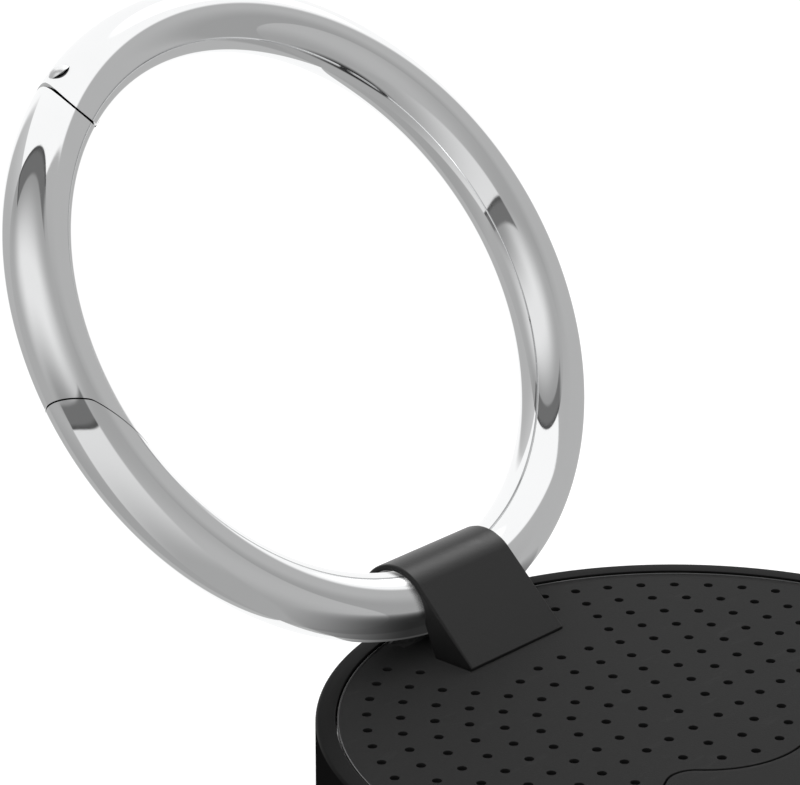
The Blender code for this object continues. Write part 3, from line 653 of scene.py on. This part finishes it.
def make_case(materials):
    """The rim, side wall and back in one shell, with screw posts, and notches and stops for the door."""
    rim = PUCK_RADIUS - RIM_WIDTH
    profile = rounded([
        (DOOR_OPENING, 0, 0.12), (PUCK_RADIUS, 0, 0.9), (PUCK_RADIUS, RIM_TOP, 0.16),
        (rim, RIM_TOP, 0.05), (rim, LEDGE_TOP, 0), (BORE_INNER, LEDGE_TOP, 0),
        (BORE_INNER, FLOOR_TOP, 0.3), (DOOR_OPENING, FLOOR_TOP, 0),
    ], 6)
    case = lathe("case_shell", profile, 240)
    tools = [saddle(), hook_pocket()]
    for angle in LUG_ANGLES:
        tools.append(sector(
            "notch", DOOR_OPENING - 1, LUG_REACH + 0.15, angle + DOOR_TURNS,
            LUG_HALF_ANGLE + math.radians(1), -1, FLOOR_TOP + 1,
        ))
    carve(case, tools)
    inside = []
    for angle in POST_ANGLES:
        x, y = polar(POST_CIRCLE, angle)
        post = rod("post", (x, y, FLOOR_TOP / 2), (x, y, POST_TOP), POST_RADIUS)
        hole = rod("hole", (x, y, POST_HOLE_BOTTOM), (x, y, POST_TOP + 1), POST_HOLE_RADIUS, 24)
        inside.append(carve(post, [hole]))
    for angle in LUG_ANGLES:
        inside.append(sector(
            "stop", DOOR_OPENING + 0.3, LUG_REACH, angle - LUG_HALF_ANGLE - math.radians(2.5),
            math.radians(1.5), STOP_BOTTOM, DOOR_TOP,
        ))
    carve(case, inside, "UNION")
    add_piece(case, materials["case_plastic"], "puck", "case_frame")


def make_door(materials):
    """The battery door: a lid with a groove for its seal, two coin slots and three bayonet lugs."""
    profile = rounded([(0, 0, 0), (DOOR_RADIUS, 0, 0.16), (DOOR_RADIUS, DOOR_SKIRT, 0)])
    profile += [(SEAL_GROOVE_RADIUS, DOOR_SKIRT), (SEAL_GROOVE_RADIUS, SEAL_GROOVE_TOP)]
    profile += [(DOOR_RADIUS, SEAL_GROOVE_TOP), (DOOR_RADIUS, DOOR_TOP), (DOOR_WALL_INNER, DOOR_TOP)]
    profile += [(DOOR_WALL_INNER, DOOR_PLATE + 0.15), (DOOR_WALL_INNER - 0.15, DOOR_PLATE), (0, DOOR_PLATE)]
    door = lathe("door_panel", profile, 160)
    slots = []
    half, corner = COIN_SLOT_HALF_WIDTH, COIN_SLOT_HALF_WIDTH - 0.02
    for side in (-1, 1):
        left, right = sorted(side * end for end in COIN_SLOT_ENDS)
        corners = [(left, -half, corner), (right, -half, corner), (right, half, corner), (left, half, corner)]
        slots.append(prism("slot", rounded(corners, 8), -1, COIN_SLOT_DEPTH))
    carve(door, slots)
    lugs = [
        sector("lug", DOOR_RADIUS - 0.4, LUG_REACH, angle, LUG_HALF_ANGLE, LUG_BOTTOM, LUG_TOP)
        for angle in LUG_ANGLES
    ]
    carve(door, lugs, "UNION")
    soften(door, 0.04)
    add_piece(door, materials["case_plastic"], "door", "battery_door")


# ---------------------------------------------------------------- the loop and the ring

def loop_outline():
    """Side view of the loop: foot, sloping flap, fold over the wire, and the leg with its hook."""
    outer = LOOP_BORE + LOOP_THICKNESS
    flap = math.pi / 2 + LOOP_SLOPE
    fold = (LOOP_Y + outer * math.cos(flap), LOOP_Z + outer * math.sin(flap))
    foot = FACE_TOP + FOOT_GAP
    toe_top = foot + TOE_HEIGHT
    front = fold[0] - (fold[1] - toe_top) / math.tan(LOOP_SLOPE)
    leg_outer, leg_inner = LOOP_Y + outer, LOOP_Y + LOOP_BORE
    toe = rounded([
        (LOOP_FOOT_BACK, foot, 0), (front, foot, 0.02), (front, toe_top, 0.06), (fold[0], fold[1], 0),
    ], 4)[1:-1]
    hook = rounded([
        (leg_outer, LOOP_Z, 0), (leg_outer, LOOP_LEG_END, 0.2), (leg_inner - HOOK_DEPTH, LOOP_LEG_END, 0.15),
        (leg_inner - HOOK_DEPTH, HOOK_TOP, 0.15), (leg_inner, HOOK_TOP, 0.1), (leg_inner, LOOP_Z, 0),
    ], 4)[1:-1]
    outline = toe + arc(outer, 56, (LOOP_Y, LOOP_Z), flap, -flap) + hook
    outline += arc(LOOP_BORE, 72, (LOOP_Y, LOOP_Z), 0, math.pi)
    outline += [(LOOP_FOOT_BACK, foot)]
    return outline


def mark_loop_edges(loop):
    """Marks the side edges of the flap, the fold and the leg, whose corners are well rounded."""
    near = 0.01
    mesh = loop.data
    weights = mesh.attributes.new("bevel_weight_edge", "FLOAT", "EDGE").data
    slope = Vector((-math.sin(LOOP_SLOPE), math.cos(LOOP_SLOPE)))
    outer = LOOP_BORE + LOOP_THICKNESS

    def shapely(vertex):
        x, y, z = vertex.co / MM
        spoke = Vector((y - LOOP_Y, z - LOOP_Z))
        off_round = min(abs(spoke.length - outer), abs(spoke.length - LOOP_BORE))
        on_flap = abs(spoke.dot(slope) - outer) < near and y < LOOP_Y and z > FACE_TOP + 0.2
        on_fold = off_round < near and z > LOOP_Z - near
        on_leg = abs(y - LOOP_Y - outer) < near and LOOP_LEG_END + 0.3 < z < LOOP_Z + near
        return abs(x) > LOOP_HALF_WIDTH - near and (on_flap or on_fold or on_leg)

    for edge in mesh.edges:
        first, second = (mesh.vertices[i] for i in edge.vertices)
        along = abs(first.co.x - second.co.x) < 1e-6
        weights[edge.index].value = float(along and shapely(first) and shapely(second))


def make_loop(materials):
    """The moulded loop that wraps the ring's wire."""
    loop = along_x("loop_moulding", loop_outline(), LOOP_HALF_WIDTH)
    holes = []
    for x in (-FOOT_SCREW_X, FOOT_SCREW_X):
        low, high = (x, FOOT_SCREW_Y, FACE_TOP - 1), (x, FOOT_SCREW_Y, RIM_TOP + 0.6)
        holes.append(rod("hole", low, high, FOOT_HOLE_IN_LOOP, 24))
    carve(loop, holes)
    mark_loop_edges(loop)
    soften(loop, 0.15, 5, marked=True)
    loop.visible_glossy = False  # so that the ring stays bright right up to the loop
    add_piece(loop, materials["loop_plastic"], "puck", "strap_loop")


def ring_matrix():
    """The ring's own axes: X along the swing axis, Y to the ring's centre, Z along its axis."""
    return Matrix.Translation((0, LOOP_Y, LOOP_Z)) @ Matrix.Rotation(RING_TILT, 4, "X")


def wire_matrix(angle):
    """Axes on the wire: X along it, Y to the ring's centre, Z along the ring's axis."""
    x, y = polar(RING_RADIUS, angle)
    turn = Matrix.Rotation(angle + math.pi / 2, 4, "Z")
    return Matrix.Translation((x, RING_CENTRE + y, 0)) @ turn


def wire_arc(name, start, end):
    """A stretch of round wire bent to the ring's circle."""
    steps = max(2, round(abs(end - start) / math.radians(1.25)))
    section = arc(WIRE_RADIUS, 80)
    rows = []
    for i in range(steps + 1):
        angle = start + (end - start) * i / steps
        out = Vector((math.cos(angle), math.sin(angle), 0))
        hub = Vector((0, RING_CENTRE, 0))
        rows.append([hub + out * (RING_RADIUS + u) + Vector((0, 0, v)) for u, v in section])
    shape = bmesh.new()
    rings = skin(shape, rows)
    shape.faces.new(rings[0])
    shape.faces.new(rings[-1])
    return as_object(name, shape)


def nose_line(gap):
    """The slanting joint between the gate's nose and the ring, as (along, inward) points."""
    outer, knee, inner = -WIRE_RADIUS, -0.6, WIRE_RADIUS
    steep, shallow, reach = 0.65, 1.3, 1.5
    start = -0.16 + gap
    middle = start + steep * (knee - outer)
    end = middle + shallow * (inner - knee)
    return rounded([
        (start - steep * reach, outer - reach, 0), (middle, knee, 1.2),
        (end + shallow * reach, inner + reach, 0),
    ], 8)


def slot_outline():
    """Room for the gate's tongue through its whole swing, in the pivot's axes."""
    half, opened = 1.1, GATE_OPENS + math.radians(2)
    along, across = Vector(polar(1, opened)), Vector(polar(1, opened + math.pi / 2))
    first = opened + math.radians(75)
    back = arc(1.32, 24, start=first, sweep=math.radians(270) - first)
    far, near = along * 5 + across * half, across * half + along * 0.5
    return [(0.5, -half), (5, -half), tuple(far), tuple(near)] + back


def tongue_outline():
    """The gate's tongue: a round head with a heel for the plunger, and a neck."""
    points = [(3.4, -1.0), (3.4, 1.2), (0.4, 1.0)]
    points += arc(1.0, 8, start=math.pi / 2, sweep=math.radians(35))
    points += arc(1.25, 3, start=math.radians(148), sweep=math.radians(4))
    points += arc(1.0, 18, start=math.radians(175), sweep=math.radians(95))
    return points


def polish(obj):
    """Gives the wire's own surface the shading normals of a true ring, so that it mirrors cleanly."""
    turn = ring_matrix()
    hub = turn @ Vector((0, RING_CENTRE, 0)) * MM
    axis = turn.to_3x3() @ Vector((0, 0, 1))
    mesh = obj.data
    normals = []
    for polygon in mesh.polygons:
        for index in polygon.loop_indices:
            offset = mesh.vertices[mesh.loops[index].vertex_index].co - hub
            height = offset.dot(axis)
            flat = offset - axis * height
            true = flat - flat.normalized() * RING_RADIUS * MM + axis * height
            on_wire = abs(true.length - WIRE_RADIUS * MM) < 0.02 * MM
            facing = true.normalized().dot(polygon.normal) > 0.985
            normals.append(true.normalized() if on_wire and facing else polygon.normal)
    mesh.normals_split_custom_set(normals)


def add_ring_piece(obj, materials, body, node):
    obj.data.materials.clear()
    obj.data.materials.append(materials["chrome"])
    placed(obj, ring_matrix())
    obj.data.shade_smooth()
    polish(obj)
    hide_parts(node)
    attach(obj, body)


def make_ring(materials):
    """The ring's fixed part, cut open for the gate: slanting nose joint, cheeks, slot and plunger bore."""
    pivot, nose = wire_matrix(PIVOT_ANGLE), wire_matrix(NOSE_ANGLE)
    ring = wire_arc("ring_wire", NOSE_ANGLE - TAU - math.radians(3), PIVOT_ANGLE + math.radians(9))
    out = BEYOND_WIRE
    cut = nose_line(GATE_GAP)
    cut += [(-out, cut[-1][1]), (-out, cut[0][1])]
    cheek = [(0, out), (0, CHEEK_RADIUS)] + arc(CHEEK_RADIUS, 40, start=math.pi / 2, sweep=-math.pi)[1:]
    cheek += [(0, -out), (5, -out), (5, out)]
    tools = [
        placed(prism("nose", cut, -out, out), nose),
        placed(prism("cheek", cheek, -out, out), pivot),
        placed(prism("slot", slot_outline(), -TONGUE_SLOT_HALF_WIDTH, TONGUE_SLOT_HALF_WIDTH), pivot),
        placed(rod("bore", PLUNGER_BORE_START, PLUNGER_BORE_END, PLUNGER_BORE_RADIUS, 32), pivot),
    ]
    carve(ring, tools)
    add_ring_piece(ring, materials, "ring", "ring_body")


def make_gate(materials):
    """The sprung gate: a stretch of the wire with a hollow shoulder, and a tongue on the hinge pin."""
    pivot, nose = wire_matrix(PIVOT_ANGLE), wire_matrix(NOSE_ANGLE)
    gate = wire_arc("gate_wire", PIVOT_ANGLE + math.radians(1), NOSE_ANGLE + math.radians(20))
    out = BEYOND_WIRE
    cut = nose_line(0)
    cut += [(9, cut[-1][1]), (9, cut[0][1])]
    last = math.pi / 2 - GATE_OPENS + math.radians(6)
    shoulder = [(-out, -out), (0, -out)]
    shoulder += arc(CHEEK_RADIUS + CHEEK_GAP, 40, start=-math.pi / 2, sweep=math.pi / 2 + last)
    shoulder += [polar(4, last), (-out, 4)]
    carve(gate, [
        placed(prism("nose", cut, -out, out), nose),
        placed(prism("shoulder", shoulder, -out, out), pivot),
    ])
    tongue = prism("tongue", tongue_outline(), -TONGUE_HALF_THICKNESS, TONGUE_HALF_THICKNESS)
    carve(gate, [placed(tongue, pivot)], "UNION")
    carve(gate, [placed(rod("hole", (0, 0, -out), (0, 0, out), PIN_HOLE_RADIUS, 32), pivot)])
    add_ring_piece(gate, materials, "gate", "ring_gate")


def make_rivet(materials):
    """The small domed rivet beside the knuckle. It leans, so that its head shows from the side."""
    radius, height = RIVET_RADIUS, RIVET_HEIGHT
    under, shank, depth = -0.03, RIVET_SHANK_RADIUS, -RIVET_SHANK_DEPTH
    ball = (radius**2 + height**2) / (2 * height)
    spread = math.asin(radius / ball)
    profile = [(0, depth), (shank, depth), (shank, under), (radius - 0.02, under), (radius, 0)]
    for i in range(1, 16):
        angle = spread * (1 - i / 16)
        profile.append((ball * math.sin(angle), height - ball * (1 - math.cos(angle))))
    profile.append((0, height))
    rivet = lathe("rivet_head", profile, 64)
    place = ring_matrix() @ wire_matrix(PIVOT_ANGLE) @ Matrix.Rotation(-RIVET_ROUND_WIRE, 4, "X")
    place = place @ Matrix.Translation((0, RIVET_SINK - WIRE_RADIUS, 0))
    place = place @ Matrix.Rotation(RIVET_TURN, 4, "Z") @ Matrix.Rotation(math.pi / 2 + RIVET_LEAN, 4, "X")
    placed(rivet, place)
    add_piece(rivet, materials["satin_chrome"], "ring", "gate_rivet")


# ---------------------------------------------------------------- the pieces kept from the frame

def dress_kept_nodes(materials):
    """Every CAD node that stays gets the finish its slot names."""
    slots = {entry["node"]: entry["material_slot"] for entry in frame["record"]["subparts"]}
    for name, obj in frame["nodes"].items():
        obj.data.materials.clear()
        obj.data.materials.append(materials[slots[name]])
        obj.modifiers.new("weld", "WELD").merge_threshold = 1e-3 * MM
        soften(obj, 0.03, 2)
        obj.visible_glossy = False  # so that the ring doesn't mirror the screws under the loop


# ---------------------------------------------------------------- studio

# The studio is drawn on a flat map of directions: straight up is the middle, each degree down from there is
# one unit outwards, and azimuth is the angle round it. A line on the map is the azimuth that it faces and how
# far out it lies.
HOOP_CENTRE = (-17, 31, 0)
HOOP_FACES = (-0.707, -0.707, 0)
HOOP_INNER = 75.5
HOOP_OUTER = 83.5
BAR_INNER = (28, -9)
PANEL_FRONT = (25.6, 1.4)
PANEL_RUN = (-64.4, 0)
PANEL_LEDGE = (67.7, -15.3)
PANEL_FAR_SIDE = (-41.8, 49.6)
PANEL_TOP = (122.8, 47.4)
PANEL_CORNER = (158, 15.6)
LAMP_PLACE = (46, 10, 0)
LAMP_STRENGTH = 4.0

# The floor in millimetres, and the camera in metres and degrees.
FLOOR_REACH = 900
FLOOR_GAP = 0.02
CAMERA_PLACE = (-0.13625, -0.10545, 0.090435)
CAMERA_PITCH = 68.945
CAMERA_YAW = -47.6
CAMERA_LENS = 181.07


class Studio:
    """How bright the studio is in a direction. A long panel hangs to the right of the object behind a dark
    bar, a soft box glows to its left inside a dark hoop, and the grey walls are palest at the horizon."""

    def __init__(self, graph, way):
        self.graph = graph
        parts = graph.add("SeparateXYZ", {0: way}).outputs
        self.down = graph.math("DEGREES", graph.math("ARCCOSINE", parts["Z"]))
        azimuth = graph.math("ARCTAN2", parts["Y"], parts["X"])
        across = graph.math("MULTIPLY", self.down, graph.math("COSINE", azimuth))
        along = graph.math("MULTIPLY", self.down, graph.math("SINE", azimuth))
        self.place = graph.add("CombineXYZ", {0: across, 1: along}).outputs[0]
        self.hoop = graph.vector("DISTANCE", self.place, HOOP_CENTRE)
        from_hoop = graph.vector("SUBTRACT", self.place, HOOP_CENTRE)
        facing = graph.vector("DOT_PRODUCT", from_hoop, HOOP_FACES)
        self.hoop_side = graph.ramp(graph.math("DIVIDE", facing, self.hoop), 0.76, 0.82)
        self.run = self.beyond(PANEL_RUN)
        bow = graph.math("POWER", graph.math("DIVIDE", graph.off(self.run, -10), 25), 2)
        self.panel_side = graph.math("SUBTRACT", self.beyond(PANEL_FRONT), graph.math("MINIMUM", bow, 2))

    def beyond(self, line):
        """How far the direction lies past a line on the map."""
        angle, offset = math.radians(line[0]), line[1]
        facing = (math.cos(angle), math.sin(angle), 0)
        return self.graph.math("SUBTRACT", self.graph.vector("DOT_PRODUCT", self.place, facing), offset)

    def walls(self):
        """The walls, lit near the hoop by what spills past it."""
        graph = self.graph
        horizon = graph.ramp(graph.off(self.down, 88), 42, 4, 0.38, 0.48)
        spill = graph.ramp(self.hoop, HOOP_OUTER, 140, 0.78, 0.40)
        return graph.blend(self.hoop_side, horizon, spill)

    def soft_box(self):
        """A glow that follows the panel's run and fades towards both ends."""
        graph = self.graph
        glow = graph.product(graph.ramp(self.panel_side, -10, -36), graph.ramp(self.panel_side, -80, -44))
        ends = graph.ramp(graph.off(self.run, -20), 18, 64)
        return graph.blend(ends, graph.blend(glow, 0.32, 0.85), 0.43)

    def left_half(self):
        """The soft box in its hoop, and the walls round them."""
        graph = self.graph
        light = graph.blend(graph.ramp(self.hoop, 84, 74), self.walls(), self.soft_box())
        hoop = graph.product(
            graph.ramp(self.hoop, HOOP_INNER - 1, HOOP_INNER + 1),
            graph.ramp(self.hoop, HOOP_OUTER + 0.8, HOOP_OUTER), self.hoop_side,
        )
        return graph.blend(hoop, light, graph.ramp(self.hoop, HOOP_OUTER - 2, HOOP_OUTER, 0.17, 0.08))

    def right_half(self, light):
        """The dark bar, and past it the bright panel with its lamp, laid over the light that is there."""
        graph = self.graph
        ends = graph.ramp(self.run, -52, -50.5), graph.ramp(self.run, 31, 23)
        bar = graph.product(graph.ramp(self.beyond(BAR_INNER), -1, 0.5), *ends)
        rim = graph.product(graph.ramp(self.panel_side, -3.6, -6), graph.ramp(self.run, -50.5, -47.5))
        light = graph.blend(bar, light, graph.blend(rim, 0.07, 0.165))
        ledge, top = self.beyond(PANEL_LEDGE), self.beyond(PANEL_TOP)
        spill = graph.product(graph.ramp(top, 30, -2), graph.ramp(top, -2, 0))
        behind = graph.blend(spill, graph.ramp(ledge, -30, 0, 0.36, 0.47), 0.59)
        past_bar = graph.ramp(self.panel_side, -3.8, -3.2)
        light = graph.blend(past_bar, light, behind)
        corner = graph.ramp(self.beyond(PANEL_CORNER), 7, -3)
        below_top = graph.math("MAXIMUM", graph.ramp(top, 1.5, -1), corner)
        far_side = graph.ramp(self.beyond(PANEL_FAR_SIDE), 3, -2)
        panel = graph.product(past_bar, graph.ramp(ledge, -1, 0), far_side, below_top)
        from_lamp = graph.vector("DISTANCE", self.place, LAMP_PLACE)
        return graph.blend(panel, light, graph.ramp(from_lamp, 4, 20, LAMP_STRENGTH, 1.03))


def studio_light(graph, way):
    """The strength of the studio's light from a direction."""
    studio = Studio(graph, way)
    return studio.right_half(studio.left_half())


def make_world():
    """White to the camera, and the studio to everything else."""
    world = bpy.data.worlds.new("studio")
    bpy.context.scene.world = world
    world.use_nodes = True
    graph = Graph(world.node_tree)
    way = graph.add("TexCoord").outputs["Generated"]
    seen = graph.add("LightPath").outputs["Is Camera Ray"]
    strength = graph.blend(seen, studio_light(graph, way), 1.0)
    shade = graph.add("Background", {"Color": grey(1.0), "Strength": strength})
    graph.add("OutputWorld", {"Surface": shade.outputs[0]})


def make_floor():
    """A pale floor that prints white, with room for a soft contact shadow. Only the camera sees it, from
    above; everything else meets the studio's light there."""
    shape = bmesh.new()
    reach = FLOOR_REACH
    corners = [(-reach, -reach), (reach, -reach), (reach, reach), (-reach, reach)]
    shape.faces.new([shape.verts.new((x, y, -FLOOR_GAP)) for x, y in corners])
    floor = as_object("floor", shape)
    made, graph = new_material("floor_paper")
    incoming = graph.add("NewGeometry").outputs["Incoming"]
    way = graph.vector("MULTIPLY", incoming, (-1, -1, -1))
    seen = graph.add("LightPath").outputs["Is Camera Ray"]
    strength = graph.blend(seen, studio_light(graph, way), 0.72)
    glow = graph.add("Emission", {"Color": grey(1), "Strength": strength})
    paper = graph.add("BsdfDiffuse", {"Color": graph.mix(seen, grey(0.0), grey(0.6))})
    both = graph.add("AddShader", {0: glow.outputs[0], 1: paper.outputs[0]})
    above = graph.add("NewGeometry").outputs["Backfacing"]  # the sheet faces down
    clear = graph.add("BsdfTransparent")
    sheet = graph.add("MixShader", {0: above, 1: clear.outputs[0], 2: both.outputs[0]})
    finish_material(graph, sheet)
    floor.data.materials.append(made)


def make_camera():
    data = bpy.data.cameras.new("camera")
    data.sensor_width = 36.0
    data.lens = CAMERA_LENS
    data.clip_start = 0.01
    camera = bpy.data.objects.new("camera", data)
    camera.location = CAMERA_PLACE
    camera.rotation_euler = (math.radians(CAMERA_PITCH), 0, math.radians(CAMERA_YAW))
    bpy.context.scene.collection.objects.link(camera)
    bpy.context.scene.camera = camera


def main():
    materials = make_materials()
    dress_kept_nodes(materials)
    make_case(materials)
    make_cover(materials)
    make_button(materials)
    make_pad(materials)
    make_door(materials)
    make_loop(materials)
    make_ring(materials)
    make_gate(materials)
    make_rivet(materials)
    make_world()
    make_floor()
    make_camera()
    bpy.context.scene.view_settings.view_transform = "Standard"


main()
